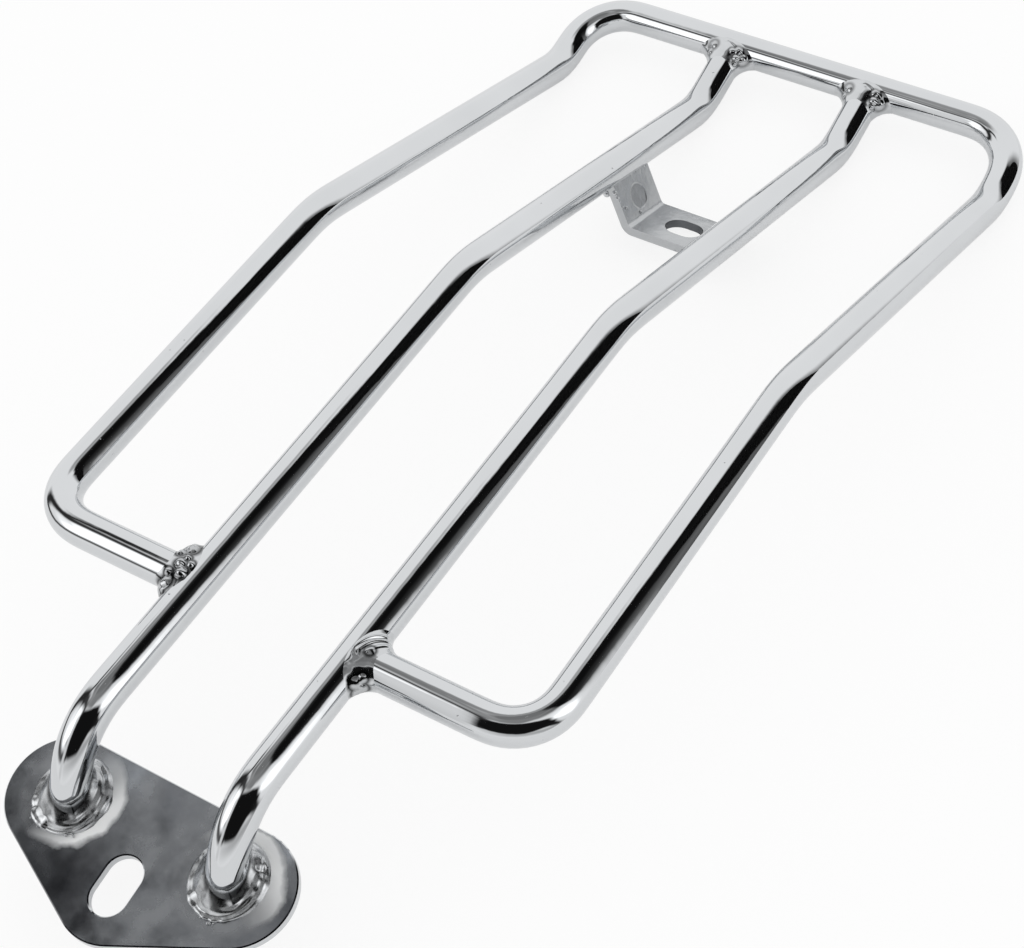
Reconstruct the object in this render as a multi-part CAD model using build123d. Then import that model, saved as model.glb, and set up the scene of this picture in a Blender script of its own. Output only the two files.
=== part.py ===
from build123d import *
import math
import os

# Motorcycle luggage rack: two bent inner bars and an outer hoop of round bar, a slotted front plate
# and a folded rear bracket, all welded together. Millimetres and degrees.
# +X is to the rider's right, +Y runs to the rear, +Z is up. The front run of the bars is level.
# The origin is the middle of the front slot, on the underside of the plate.

# Round bar
BAR_D = 12.7
BAR_R = BAR_D / 2

# Plan of the bars, measured between bar axes
INNER_SPAN = 60.5
HOOP_SPAN = 190.0

# Side view of the bars, measured along the axes
STUB_Y = 88.2
BAR_Z = 28.4
FRONT_RUN = 155.0
MID_RUN = 166.0
MID_FALL = 18.6
REAR_RUN = 31.0
REAR_RISE = 15.8
LEG_SETBACK = 61.5
LEG_FALL = 63.0

# Bend radii on the bar axis
FRONT_CORNER_R = 16.5
REAR_CORNER_R = 20.5
KINK_R = 50.0
HEEL_R = 20.0
LEG_R = 26.0

# Front plate: three equal round corners, the front one round the slot
PLATE_T = 3.0
PLATE_TILT = 8.6
CORNER_R = 18.8
LOBE_X = 33.8
LOBE_Y = 16.4
FRONT_SLOT_L = 20.0
FRONT_SLOT_W = 12.7
PLATE_CHAMFER = 0.4

# Rear bracket, a strip folded square to the falling run of the bars
STRIP_T = 3.2
STRIP_W = 25.4
STRIP_AT = 104.0
STRIP_DROP = 18.0
STRIP_INSET = 1.05
STRIP_LEG_RISE = 60.0
STRIP_FOLD_R = 2.5
REAR_SLOT_L = 15.0
REAR_SLOT_W = 11.5

# Welds: lumpy collars round the bar joints, lumpy skirts round the feet, fillets along the bracket
COPE_SETBACK = 2.5
COLLAR_LUMPS = 8
COLLAR_LEG = 4.6
COLLAR_CAP = 1.6
SKIRT_LUMPS = 13
SKIRT_TOE = 5.7
SKIRT_STEP = 2.0
SKIRT_SHIFT = 2.0
SKIRT_H = 7.3
LUMP_RISE = 0.45
BURY = 0.3
SEAM_LEG = 4.0
SEAM_SHORT = 1.5


def side_point(y, z, length, rise):
    """The point in the side view a length further to the rear, on a line rising by some degrees."""
    a = math.radians(rise)
    return y + length * math.cos(a), z + length * math.sin(a)


def bent_wire(points, radii):
    """A wire through the points, with an arc of its own radius at each inner corner."""
    edges = []
    start = Vector(*points[0])
    for corner, after, radius in zip(points[1:-1], points[2:], radii):
        corner = Vector(*corner)
        back = (start - corner).normalized()
        ahead = (Vector(*after) - corner).normalized()
        half = math.radians(back.get_angle(ahead)) / 2
        run = radius / math.tan(half)
        arc_in = corner + back * run
        arc_out = corner + ahead * run
        arc_mid = corner + (back + ahead).normalized() * (radius / math.sin(half) - radius)
        edges.append(Edge.make_line(start, arc_in))
        edges.append(Edge.make_three_point_arc(arc_in, arc_mid, arc_out))
        start = arc_out
    edges.append(Edge.make_line(start, Vector(*points[-1])))
    return Wire(edges)


def round_bar(points, radii):
    """Bar stock bent along the points."""
    path = bent_wire(points, radii)
    section = Plane(path @ 0, z_dir=path % 0) * Circle(BAR_R)
    return sweep(section, path=path)


def lumpy_bead(seat, rings, lumps, turn):
    """A weld bead of flat facets on a plane: rings of height, half length, half width and lump size."""
    loops = []
    for level, (height, length, width, rise) in enumerate(rings):
        loop = []
        for i in range(lumps):
            phi = 2 * math.pi * (i + level / 2) / lumps
            lump = rise * (math.cos(math.pi * i) + math.sin(2.4 * i + turn))
            radius = width + (length - width) * math.cos(phi) ** 2 + lump
            loop.append(seat.from_local_coords(Vector(radius * math.cos(phi), radius * math.sin(phi), height)))
        loops.append(loop)
    facets = [loops[0], loops[-1]]
    for low, high in zip(loops, loops[1:]):
        for i in range(lumps):
            j = (i + 1) % lumps
            facets.append([low[i], low[j], high[i]])
            facets.append([low[j], high[j], high[i]])
    return Solid(Shell([Face(Wire.make_polygon(corners)) for corners in facets]))


# Side view points shared by the hoop and the inner bars
KINK = side_point(STUB_Y, BAR_Z, FRONT_RUN, 0)
HEEL = side_point(*KINK, MID_RUN, -MID_FALL)
TAIL = side_point(*HEEL, REAR_RUN, REAR_RISE)
LEG_TOP = (STUB_Y - LEG_SETBACK, BAR_Z)
hx = HOOP_SPAN / 2
ix = INNER_SPAN / 2
SIDES = (("left", -1), ("right", 1))

# Front plate
plate_plane = Plane.XY.rotated((PLATE_TILT, 0, 0))
plate_top = plate_plane.offset(PLATE_T)
corners = [Pos(x, y) * Circle(CORNER_R) for x, y in ((0, 0), (LOBE_X, LOBE_Y), (-LOBE_X, LOBE_Y))]
outline = make_hull(Sketch(children=corners).edges())
slot = SlotOverall(FRONT_SLOT_L, FRONT_SLOT_W, rotation=90)
plate = extrude(outline - slot, PLATE_T)
plate = chamfer(plate.edges().group_by(Axis.Z)[-1], PLATE_CHAMFER)
front_mount_plate = plate_plane * plate

# Foot of a leg: how far down its axis it meets the upper face of the plate
leg = math.radians(LEG_FALL)
tilt = math.radians(PLATE_TILT)
gap = LEG_TOP[1] - PLATE_T / math.cos(tilt) - math.tan(tilt) * LEG_TOP[0]
leg_len = gap / (math.sin(leg) - math.tan(tilt) * math.cos(leg))
FOOT = side_point(*LEG_TOP, -leg_len, LEG_FALL)
LEG_END = side_point(*LEG_TOP, -leg_len - BAR_D, LEG_FALL)

# Outer hoop, before it is coped to the inner bars
half = [(ix + COPE_SETBACK, STUB_Y, BAR_Z), (hx, STUB_Y, BAR_Z), (hx, *KINK), (hx, *HEEL), (hx, *TAIL)]
mirrored = [(-x, y, z) for x, y, z in reversed(half)]
radii = [FRONT_CORNER_R, KINK_R, HEEL_R, REAR_CORNER_R]
hoop = round_bar(half + mirrored, radii + radii[::-1])
cross_run = Pos(0, *TAIL) * Rot(0, 90, 0) * Cylinder(BAR_R, HOOP_SPAN - 2 * REAR_CORNER_R)

# Inner bars, coped to the cross run at the rear and cut flat on the plate at the foot
tail_end = side_point(*TAIL, -COPE_SETBACK, REAR_RISE)
foot_y = plate_top.to_local_coords(Vector(0, *FOOT)).Y
below_plate = plate_top * Pos(0, foot_y, -BAR_D) * Box(INNER_SPAN + 4 * BAR_D, 4 * BAR_D, 2 * BAR_D)
bars = {}
for side, sign in SIDES:
    stations = [(sign * ix, *p) for p in (LEG_END, LEG_TOP, KINK, HEEL, tail_end)]
    bars[side] = round_bar(stations, [LEG_R, KINK_R, HEEL_R]) - below_plate - cross_run
outer_hoop = hoop - bars["left"] - bars["right"]

# Rear bracket: the folded profile is drawn across the bars and run along them
fall = math.radians(MID_FALL)
down_run = Vector(0, math.cos(fall), -math.sin(fall))
off_run = Vector(0, math.sin(fall), math.cos(fall))
strip_mid = Vector(0, *side_point(*KINK, STRIP_AT, -MID_FALL))
across_plane = Plane(strip_mid, x_dir=(1, 0, 0), z_dir=-down_run)
rise = math.radians(STRIP_LEG_RISE)
flat_y = -STRIP_DROP - STRIP_T / 2
fold_x = ix + flat_y / math.tan(rise) - STRIP_INSET / math.sin(rise)
leg_up = -flat_y / math.sin(rise) - BAR_R / 2
tip = (fold_x + leg_up * math.cos(rise), flat_y + leg_up * math.sin(rise))
spine = FilletPolyline((-tip[0], tip[1]), (-fold_x, flat_y), (fold_x, flat_y), tip, radius=STRIP_FOLD_R + STRIP_T / 2)
strip = extrude(across_plane * trace(spine, STRIP_T), STRIP_W / 2, both=True)
flat_plane = Plane(strip_mid - off_run * STRIP_DROP, x_dir=(1, 0, 0), z_dir=off_run)
strip_slot = extrude(flat_plane * SlotOverall(REAR_SLOT_L, REAR_SLOT_W), 2 * STRIP_T, both=True)
rear_bracket = strip - strip_slot - bars["left"] - bars["right"]

# Corner between the outer face of the strip and the underside of a bar, and a fillet section in it
up_leg = Vector(math.cos(rise), math.sin(rise))
off_leg = Vector(math.sin(rise), -math.cos(rise))
axis = Vector(ix, 0)
face_off = STRIP_T / 2 - STRIP_INSET
seam = axis + off_leg * face_off - up_leg * math.sqrt(BAR_R**2 - face_off**2)
round_bar_by = math.degrees(SEAM_LEG / BAR_R)
on_strip = seam - up_leg * SEAM_LEG
on_bar = axis + (seam - axis).rotate(Axis.Z, round_bar_by)
seam_points = [on_strip, on_bar, axis, on_strip - off_leg * (STRIP_T / 2)]

# Welds, each cut by the pieces it joins
lean = math.radians(LEG_FALL - PLATE_TILT)
toe_r = BAR_R / math.sin(lean) + SKIRT_TOE
step_r = BAR_R / math.sin(lean) + SKIRT_STEP
skirt_rings = [
    (0, toe_r, toe_r, 0),
    (0.2 * SKIRT_H, 0.92 * toe_r, 0.92 * toe_r, LUMP_RISE / 2),
    (0.3 * SKIRT_H, step_r, step_r, LUMP_RISE / 2),
    (SKIRT_H, BAR_R / 2, BAR_R / 2, 0),
]
collar_rings = [
    (0.15 * BAR_R, BAR_R + COLLAR_LEG / 2, BAR_R - BURY, 0),
    (0.9 * BAR_R, BAR_R + COLLAR_LEG, BAR_R + COLLAR_CAP, LUMP_RISE),
    (BAR_R + COLLAR_LEG, BAR_R - BURY, BAR_R - BURY, 0),
]
to_heel = Vector(0, -math.cos(math.radians(REAR_RISE)), -math.sin(math.radians(REAR_RISE)))
welds = {}
for side, sign in SIDES:
    foot = plate_top * Pos(sign * ix, foot_y + SKIRT_SHIFT, 0)
    welds[side + "_plate_weld"] = lumpy_bead(Plane(foot), skirt_rings, SKIRT_LUMPS, sign) - bars[side]
    stub_joint = Plane((sign * ix, STUB_Y, BAR_Z), x_dir=(0, 1, 0), z_dir=(sign, 0, 0))
    stub = lumpy_bead(stub_joint, collar_rings, COLLAR_LUMPS, sign)
    welds[side + "_stub_weld"] = stub - bars[side] - outer_hoop
    rear_joint = Plane((sign * ix, *TAIL), x_dir=(1, 0, 0), z_dir=to_heel)
    tail = lumpy_bead(rear_joint, collar_rings, COLLAR_LUMPS, 2 * sign)
    welds[side + "_rear_weld"] = tail - bars[side] - outer_hoop
    section = make_face(Polyline([(sign * p.X, p.Y) for p in seam_points], close=True))
    bead = extrude(across_plane * section, STRIP_W / 2 - SEAM_SHORT, both=True)
    welds[side + "_bracket_weld"] = bead - bars[side] - rear_bracket

nodes = {
    "front_mount_plate": front_mount_plate,
    "left_inner_bar": bars["left"],
    "right_inner_bar": bars["right"],
    "outer_hoop": outer_hoop,
    "rear_bracket": rear_bracket,
    **welds,
}
os.makedirs("parts", exist_ok=True)
for name, shape in nodes.items():
    print(name, len(shape.solids()), "solid", round(shape.volume), "mm3")
    export_step(shape, "parts/" + name + ".step")
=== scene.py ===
# %% [markdown]
# # A chromed luggage rack
# The rack is round steel bar, bent cold, welded to a slotted plate and a folded strip, then polished and
# chromed as one. The CAD model already holds the true shapes, so this lesson loads it as a fixed frame
# and adds what a shape alone can't show: the plating, the rough weld beads and a studio to reflect.

# %% Load the frame
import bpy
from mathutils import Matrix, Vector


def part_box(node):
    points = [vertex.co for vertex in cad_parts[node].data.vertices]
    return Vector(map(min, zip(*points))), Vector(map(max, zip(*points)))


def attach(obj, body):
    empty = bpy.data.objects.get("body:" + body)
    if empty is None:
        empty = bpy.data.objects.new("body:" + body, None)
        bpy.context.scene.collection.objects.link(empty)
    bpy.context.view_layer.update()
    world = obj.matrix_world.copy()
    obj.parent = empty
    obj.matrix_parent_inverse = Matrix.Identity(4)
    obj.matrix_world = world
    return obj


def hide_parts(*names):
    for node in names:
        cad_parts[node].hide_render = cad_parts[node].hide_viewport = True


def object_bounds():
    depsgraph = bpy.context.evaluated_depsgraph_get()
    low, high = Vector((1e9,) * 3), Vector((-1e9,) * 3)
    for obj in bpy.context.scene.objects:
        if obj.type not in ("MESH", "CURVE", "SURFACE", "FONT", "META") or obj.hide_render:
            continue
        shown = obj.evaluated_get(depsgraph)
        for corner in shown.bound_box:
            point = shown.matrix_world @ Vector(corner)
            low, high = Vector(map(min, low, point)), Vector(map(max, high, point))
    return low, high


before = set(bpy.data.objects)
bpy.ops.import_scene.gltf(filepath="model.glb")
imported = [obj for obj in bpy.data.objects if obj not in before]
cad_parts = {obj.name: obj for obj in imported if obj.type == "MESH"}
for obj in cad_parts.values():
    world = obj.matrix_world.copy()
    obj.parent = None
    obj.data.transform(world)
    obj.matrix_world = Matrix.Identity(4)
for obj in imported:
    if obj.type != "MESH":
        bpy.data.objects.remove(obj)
cad_low, cad_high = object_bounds()
print("CAD box from", [round(v, 4) for v in cad_low], "to", [round(v, 4) for v in cad_high])

# %% [markdown]
# Blender works in metres and the drawing is in millimetres, so one constant turns a drawn size into a
# Blender length. The few sizes below repeat the drawing, in millimetres and degrees, where a bar or a weld
# has to know its neighbours.

# %% Units and the drawing's sizes
import math
import random

import bmesh
import bpy
import numpy as np
from mathutils import Euler, Matrix, Vector, noise

MM = 0.001
BAR_R = 6.35
INNER_X = 30.25
PLATE_TILT = 8.6
MID_FALL = 18.6
REAR_RISE = 15.8
scene = bpy.context.scene


def put(name, mesh):
    """Links a mesh to the scene as an object of that name."""
    piece = bpy.data.objects.new(name, mesh)
    scene.collection.objects.link(piece)
    return piece


print("nodes:", ", ".join(sorted(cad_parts)))

# %% [markdown]
# The camera stands where the photographer stood: ahead of the rack, to the rider's right, and looking
# down at it. A long lens keeps the far end nearly as large as the near end.

# %% Camera
CAMERA_AT = (334.5, -185.6, 578.4)
CAMERA_TURN = (39.883, 6.379, 32.524)
LENS = 79.466

camera = bpy.data.objects.new("camera", bpy.data.cameras.new("camera"))
scene.collection.objects.link(camera)
camera.location = Vector(CAMERA_AT) * MM
camera.rotation_euler = Euler([math.radians(a) for a in CAMERA_TURN])
camera.data.lens = LENS
scene.camera = camera
print("camera", round((camera.location - (cad_low + cad_high) / 2).length, 3), "m from the rack's middle")

# %% [markdown]
# A material is a small graph of nodes. One function adds a node, sets what it is given and links the
# sockets it is given, and one more turns a colour written as sRGB hex into the linear numbers that the
# shader wants.


# %% Node and colour helpers
def linear(hex_colour):
    """An sRGB hex colour as linear red, green, blue and alpha."""
    parts = [int(hex_colour[i:i + 2], 16) / 255 for i in (1, 3, 5)]
    return [c / 12.92 if c <= 0.04045 else ((c + 0.055) / 1.055) ** 2.4 for c in parts] + [1.0]


def add(tree, kind, inputs=None, **settings):
    """Adds a node; an input that is a socket is linked, any other is set as the socket's value."""
    node = tree.nodes.new(kind)
    for key, value in settings.items():
        setattr(node, key, value)
    for key, value in (inputs or {}).items():
        if isinstance(value, bpy.types.NodeSocket):
            tree.links.new(value, node.inputs[key])
        else:
            node.inputs[key].default_value = value
    return node


def per_metre(size_mm):
    """The texture scale whose cells are about that many millimetres wide."""
    return 1000 / size_mm


def new_material(name):
    """A new material with an empty node tree, and that tree."""
    made = bpy.data.materials.new(name)
    made.use_nodes = True
    made.node_tree.nodes.clear()
    return made, made.node_tree


print("white is", linear("#ffffff"), "and mid grey is", [round(c, 3) for c in linear("#808080")])

# %% [markdown]
# Chrome has hardly any colour of its own: what the eye reads as chrome is the room around it. The
# photograph's room is a white sweep with a dark gap on the right, a lamp on each side and the dark end
# of the room behind the camera. Here the world and the floor are the white sweep, and a tent over the
# rack gives the lamps and the dark parts. The tent is seen only in reflections.

# %% World and floor
world = bpy.data.worlds.new("white_sweep")
scene.world = world
world.use_nodes = True
world.node_tree.nodes.clear()
sky = add(world.node_tree, "ShaderNodeBackground", {"Color": linear("#ffffff"), "Strength": 1.0})
add(world.node_tree, "ShaderNodeOutputWorld", {"Surface": sky.outputs[0]})

FLOOR_HALF = 8.0
floor_mesh = bpy.data.meshes.new("floor")
floor_corners = [(x * FLOOR_HALF, y * FLOOR_HALF, cad_low.z) for x, y in ((-1, -1), (1, -1), (1, 1), (-1, 1))]
floor_mesh.from_pydata(floor_corners, [], [(0, 1, 2, 3)])
floor = put("floor", floor_mesh)

# Painted sweep: matt white paint, lifted to plain white where it is seen, with some of its shadow kept.
# The bars lie close to it and mirror mostly their own shadow, so there more of the shadow stays.
SHADOW_KEPT = 0.16
MIRRORED_GLOW = 0.25
paint, tree = new_material("matt_white_paint")
matt = add(tree, "ShaderNodeBsdfDiffuse", {"Color": linear("#f4f4f4")})
glow = add(tree, "ShaderNodeEmission", {"Color": linear("#ffffff"), "Strength": 1.0})
path = add(tree, "ShaderNodeLightPath")
mirrored = add(tree, "ShaderNodeMath", {0: path.outputs["Is Glossy Ray"],
                                        1: path.outputs["Is Transmission Ray"]}, operation="MAXIMUM")
plain = add(tree, "ShaderNodeMath", {0: path.outputs["Is Camera Ray"], 1: 1 - SHADOW_KEPT},
            operation="MULTIPLY")
share = add(tree, "ShaderNodeMath", {0: mirrored.outputs[0], 1: MIRRORED_GLOW, 2: plain.outputs[0]},
            operation="MULTIPLY_ADD")
both = add(tree, "ShaderNodeMixShader", {0: share.outputs[0], 1: matt.outputs[0], 2: glow.outputs[0]})
add(tree, "ShaderNodeOutputMaterial", {"Surface": both.outputs[0]})
floor_mesh.materials.append(paint)
print("floor at", round(cad_low.z / MM, 1), "mm")

# %% [markdown]
# A chromed bar squeezes the whole room into stripes, so the stripes tell where the room is dark and
# where it is bright. The room is made as a light tent: a dome of white cloth painted with soft strokes.
# Each stroke is a line of points, given by the compass angle from the rear towards the rider's right and
# the height above the horizon, with a half width, a softness and a brightness. Soft strokes were chosen
# over flat cards because cards leave hard edges in the chrome, and a real room has few.

# %% Strokes on the tent
TENT_STROKES = {
    "ceiling": [(0, 90, 16, 5, 0.22), (0, 88, 16, 5, 0.22)],
    "ceiling_over_the_room": [(150, 70, 7, 4, 0.25), (180, 72, 8, 4, 0.30), (-150, 68, 6, 4, 0.32)],
    "ceiling_edge_on_the_left": [
        (-150, 70, 5, 4, 0.34), (-125, 71, 5, 4, 0.34), (-98, 66, 6, 3, 0.22), (-76, 68, 6, 3, 0.30),
        (-50, 70, 5, 3, 0.36), (-28, 68, 4, 3, 0.45), (-10, 70, 3, 4, 0.45)],
    "ceiling_edge_on_the_right": [(85, 68, 9, 6, 0.20), (110, 70, 8, 6, 0.26), (150, 74, 8, 6, 0.28)],
    "shade_beside_the_gap": [
        (24, 56, 2, 4, 0.40), (36, 42, 4, 5, 0.20), (41, 22, 6, 6, 0.16), (42, 4, 7, 7, 0.25),
        (38, -6, 6, 7, 0.36)],
    "gap_on_the_right": [
        (-8, 75, 2.5, 3, 0.10), (10, 76, 6, 2, 0.020), (35, 71, 10, 2, 0.006), (56, 59, 13, 2, 0.006),
        (60, 45, 12, 2, 0.025), (61, 30, 9.5, 3, 0.090), (62, 15, 8.5, 4, 0.16), (62, 0, 8, 4, 0.12)],
    "depth_of_the_gap": [
        (40, 56, 8, 2, 0.006), (50, 42, 8, 2, 0.008), (53, 28, 5.5, 3, 0.012), (54, 14, 4.5, 3, 0.020),
        (54, 3, 3.5, 3, 0.060)],
    "low_grey_wall": [
        (105, -2, 6, 6, 0.50), (130, 8, 7, 6, 0.50), (160, 12, 7, 7, 0.60), (182, 10, 7, 8, 0.75)],
    "room_behind_the_camera": [
        (105, 4, 3, 3, 0.030), (112, 18, 6, 3, 0.012), (120, 32, 15, 3, 0.008), (145, 37, 23, 3, 0.008),
        (180, 39, 23, 3, 0.008), (198, 40, 18, 4, 0.012)],
    "room_on_the_left": [
        (-150, 56, 8, 4, 0.050), (-125, 54, 8, 4, 0.060), (-106, 40, 7, 4, 0.030), (-101, 20, 6, 4, 0.030),
        (-104, 2, 5, 3, 0.050), (-125, 4, 4, 3, 0.080), (-150, 10, 4, 3, 0.12), (-170, 18, 5, 3, 0.020)],
    "stand_on_the_left": [(-80, 54, 3.5, 3, 0.020), (-94, 54, 4, 3, 0.030), (-104, 46, 3, 3, 0.030)],
    "right_lamp": [(84, 10, 6, 3, 1.5), (88, 22, 9.5, 3, 1.8), (94, 34, 11, 4, 1.7), (98, 46, 6, 5, 1.2)],
    "left_lamp": [
        (-146, 50, 6, 4, 1.5), (-136, 44, 8, 4, 1.6), (-146, 34, 9, 4, 1.9), (-140, 24, 9, 4, 1.9),
        (-128, 28, 9, 6, 1.3)],
    "wall_beside_the_room": [
        (-155, 46, 4, 3, 0.9), (-160, 32, 4.5, 3, 0.9), (-163, 18, 4.5, 3, 0.85), (-163, 2, 4.5, 3, 0.8)],
}
TENT_R = 0.8
TENT_STEP = 1.0
TENT_FOOT = -4.5


def direction(compass, height):
    """The unit vector, or vectors, towards a compass angle and a height in degrees."""
    a, e = np.radians(compass), np.radians(height)
    return np.stack([np.sin(a) * np.cos(e), np.cos(a) * np.cos(e), np.sin(e)], axis=-1)


def stroke_samples(points):
    """Close samples along a stroke: unit vectors, and the half width, softness and brightness at each."""
    along, values = [], []
    for a, b in zip(points[:-1], points[1:]):
        start, stop = direction(*a[:2]), direction(*b[:2])
        steps = max(int(np.degrees(np.arccos(min(start @ stop, 1.0))) / TENT_STEP), 1)
        for t in np.arange(steps + 1) / steps:
            mid = start * (1 - t) + stop * t
            along.append(mid / np.linalg.norm(mid))
            values.append(np.array(a[2:]) * (1 - t) + np.array(b[2:]) * t)
    return np.array(along), np.array(values)


def tent_shade(ahead):
    """The brightness of the tent in each of the given directions, with the strokes laid one over another."""
    shade = np.ones(len(ahead))
    for points in TENT_STROKES.values():
        along, values = stroke_samples(points)
        away = np.degrees(np.arccos(np.clip(ahead @ along.T, -1, 1)))
        depth = (values[:, 0] - away) / values[:, 1]
        nearest = depth.argmax(axis=1)
        cover = np.clip(depth.max(axis=1) * 0.5 + 0.5, 0, 1)
        cover = cover * cover * (3 - 2 * cover)
        shade = shade * (1 - cover) + values[nearest, 2] * cover
    return shade


print(len(TENT_STROKES), "strokes on the tent")

# %% Tent
columns = round(360 / TENT_STEP)
heights = np.arange(TENT_FOOT, 90, TENT_STEP)
grid = np.stack(np.meshgrid(np.arange(columns) * TENT_STEP, heights), axis=-1).reshape(-1, 2)
ahead = direction(grid[:, 0], grid[:, 1])
tent_centre = (cad_low + cad_high) / 2
tent_points = [tent_centre + Vector(d) * TENT_R for d in ahead]
tent_faces = []
for k in range(len(heights) - 1):
    for i in range(columns):
        j = (i + 1) % columns
        tent_faces.append((k * columns + i, k * columns + j, (k + 1) * columns + j, (k + 1) * columns + i))
tent_mesh = bpy.data.meshes.new("light_tent")
tent_mesh.from_pydata(tent_points, [], tent_faces)
tent_mesh.attributes.new("shade", "FLOAT", "POINT").data.foreach_set("value", tent_shade(ahead))

# Tent cloth: thin white fabric lit from outside, so it glows by itself, as bright as the painted shade
tent_cloth, tree = new_material("white_tent_cloth")
painted = add(tree, "ShaderNodeAttribute", attribute_name="shade")
lit = add(tree, "ShaderNodeEmission", {"Color": linear("#ffffff"), "Strength": painted.outputs["Fac"]})
add(tree, "ShaderNodeOutputMaterial", {"Surface": lit.outputs[0]})
tent_cloth.cycles.emission_sampling = "NONE"
tent_mesh.materials.append(tent_cloth)
tent = put("light_tent", tent_mesh)
tent.visible_camera = False
tent.visible_diffuse = False
tent.visible_shadow = False
print("tent of", len(tent_faces), "faces")

# %% [markdown]
# One more thing stands in the tent: a black flag on the right. A flag is a cloth on a frame that
# photographers use to draw a dark window into a bright bend. It hangs just inside the tent with its left
# edge upright, which makes the dark stripes on the bars taper to a point at the bends. It is a strip
# between two rows of directions, and like the tent it is seen only in reflections.

# %% Black flag
FLAG_LEFT = [(38.5, 44), (38.5, 37), (38.7, 30), (39, 23), (39.2, 15), (39.4, 7), (39.8, -3)]
FLAG_RIGHT = [(61, 38), (61, 34), (61, 28), (60, 20), (59, 12), (58, 4), (57, -3)]
FLAG_R = 0.76

flag_mesh = bpy.data.meshes.new("black_flag")
rows = len(FLAG_LEFT)
flag_mesh.from_pydata([tent_centre + Vector(direction(*d)) * FLAG_R for d in FLAG_LEFT + FLAG_RIGHT], [],
                      [(k, k + 1, rows + k + 1, rows + k) for k in range(rows - 1)])
velvet, tree = new_material("black_velvet_cloth")
pile = add(tree, "ShaderNodeBsdfDiffuse", {"Color": linear("#141414")})
add(tree, "ShaderNodeOutputMaterial", {"Surface": pile.outputs[0]})
flag_mesh.materials.append(velvet)
flag = put("black_flag", flag_mesh)
flag.visible_camera = False
flag.visible_diffuse = False
flag.visible_shadow = False
print("flag of", rows - 1, "panels")

# %% [markdown]
# The bars were polished on a belt and a mop before plating, so they mirror sharply, with a faint
# orange-peel wave and a few pinholes. Chromium returns about two thirds of the light, so the base colour
# is a light grey and not white. The wave is a soft noise a few millimetres wide, and the pinholes are the
# hearts of Voronoi cells, drawn a little larger than life so that they show.

# %% Bright chrome on polished bar
PEEL_MM = 9.0
PEEL_DEEP_MM = 0.05
PIN_EVERY_MM = 9.0
PIN_R_MM = 0.42
PIN_DEEP_MM = 0.25
CLOUD_MM = 40.0
HAZE_LEAST, HAZE_MOST = 0.02, 0.06

bar_chrome, tree = new_material("chrome_plated_polished_bar")
where = add(tree, "ShaderNodeTexCoord").outputs["Object"]
peel = add(tree, "ShaderNodeTexNoise", {"Vector": where, "Scale": per_metre(PEEL_MM), "Detail": 1.5})
wave = add(tree, "ShaderNodeBump", {"Height": peel.outputs[0], "Distance": PEEL_DEEP_MM * MM})
pins = add(tree, "ShaderNodeTexVoronoi", {"Vector": where, "Scale": per_metre(PIN_EVERY_MM)})
pin = add(tree, "ShaderNodeMapRange", {"Value": pins.outputs["Distance"],
                                       "From Max": PIN_R_MM / PIN_EVERY_MM})
dent = add(tree, "ShaderNodeBump", {"Height": pin.outputs[0], "Distance": PIN_DEEP_MM * MM,
                                    "Normal": wave.outputs[0]})
cloud = add(tree, "ShaderNodeTexNoise", {"Vector": where, "Scale": per_metre(CLOUD_MM), "Detail": 3.0})
tint = add(tree, "ShaderNodeMix", {"Factor": cloud.outputs[0], "A": linear("#cfd1d3"),
                                   "B": linear("#dadcde")}, data_type="RGBA")
haze = add(tree, "ShaderNodeMapRange", {"Value": cloud.outputs[0], "To Min": HAZE_LEAST, "To Max": HAZE_MOST})
skin = add(tree, "ShaderNodeBsdfPrincipled", {"Metallic": 1.0, "Roughness": haze.outputs[0],
                                              "Normal": dent.outputs[0], "Base Color": tint.outputs[2]})
add(tree, "ShaderNodeOutputMaterial", {"Surface": skin.outputs[0]})
print("bar chrome has", len(tree.nodes), "nodes")

# %% [markdown]
# The bars are bent cold round a former. In the drawing an arc meets a straight run at a point, and a
# mirror finish shows that: the reflection jumps there. A real bar eases into its bend over about its own
# thickness. So each bar is drawn again on the same line, eased by averaging it over a few millimetres,
# and a ring is swept along it. A sweep in code was chosen over a bevelled curve because the ends can then
# be coped: each end ring is pushed along the bar until it lies on the bar or plate that it is welded to.
# The average is weighted by a bell curve with a spread of EASE, cut off at EASE_CUT times that.


# %% Lines of the bars
KINK = (243.2, 28.4)
HEEL = (400.53, -24.547)
TAIL = (430.36, -16.106)
LEG_TOP = (26.7, 28.4)
LEG_LOW = (17.65, 10.64)
STUB_Y = 88.2
HOOP_X = 95.0
LEG_R, KINK_R, HEEL_R, FRONT_CORNER_R, REAR_CORNER_R = 26.0, 50.0, 20.0, 16.5, 20.5
LINE_STEP = 0.5
EASE = 3.0
EASE_CUT = 3
RING_EVERY = 4
ROUND = 48


def bent_line(points, radii):
    """The axis of a bent bar: straight runs with an arc of its own radius at each corner."""
    points = [Vector(p) for p in points]
    line = [points[0]]
    for corner, after, radius in zip(points[1:], points[2:], radii):
        ahead_in, ahead_out = (corner - line[-1]).normalized(), (after - corner).normalized()
        turn = ahead_in.angle(ahead_out)
        start = corner - ahead_in * radius * math.tan(turn / 2)
        to_middle = (ahead_out - ahead_in * ahead_in.dot(ahead_out)).normalized()
        steps = math.ceil(turn * radius / LINE_STEP)
        for k in range(steps + 1):
            a = turn * k / steps
            line.append(start + ahead_in * radius * math.sin(a) + to_middle * radius * (1 - math.cos(a)))
    return np.array(line + [points[-1]])


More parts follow.
